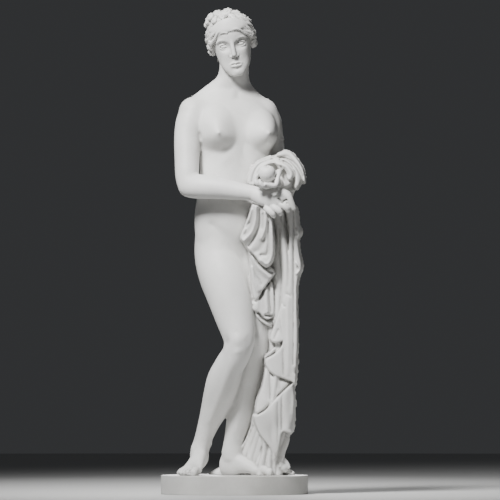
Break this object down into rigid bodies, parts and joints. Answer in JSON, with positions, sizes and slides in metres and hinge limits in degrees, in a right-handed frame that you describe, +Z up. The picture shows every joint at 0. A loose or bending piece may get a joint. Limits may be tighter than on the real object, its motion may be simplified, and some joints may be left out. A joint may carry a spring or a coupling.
{
  "type": "classical goddess statue",
  "caption": "Life-size standing goddess in pale stone, holding out an apple, with drapery falling from one arm to a round plinth.",
  "frame": {"origin": "centre of the plinth's underside", "axes": "+Z up, the figure faces -Y, +X to the viewer's right"},
  "size_m": [0.53, 0.53, 1.7513],
  "materials": {
    "carved_stone": "fine-rubbed, weathered",
    "plinth_stone": "turned, matt"
  },
  "bodies": {
    "root": {"figure": "carved_stone", "plinth": "plinth_stone"}
  },
  "joints": []
}
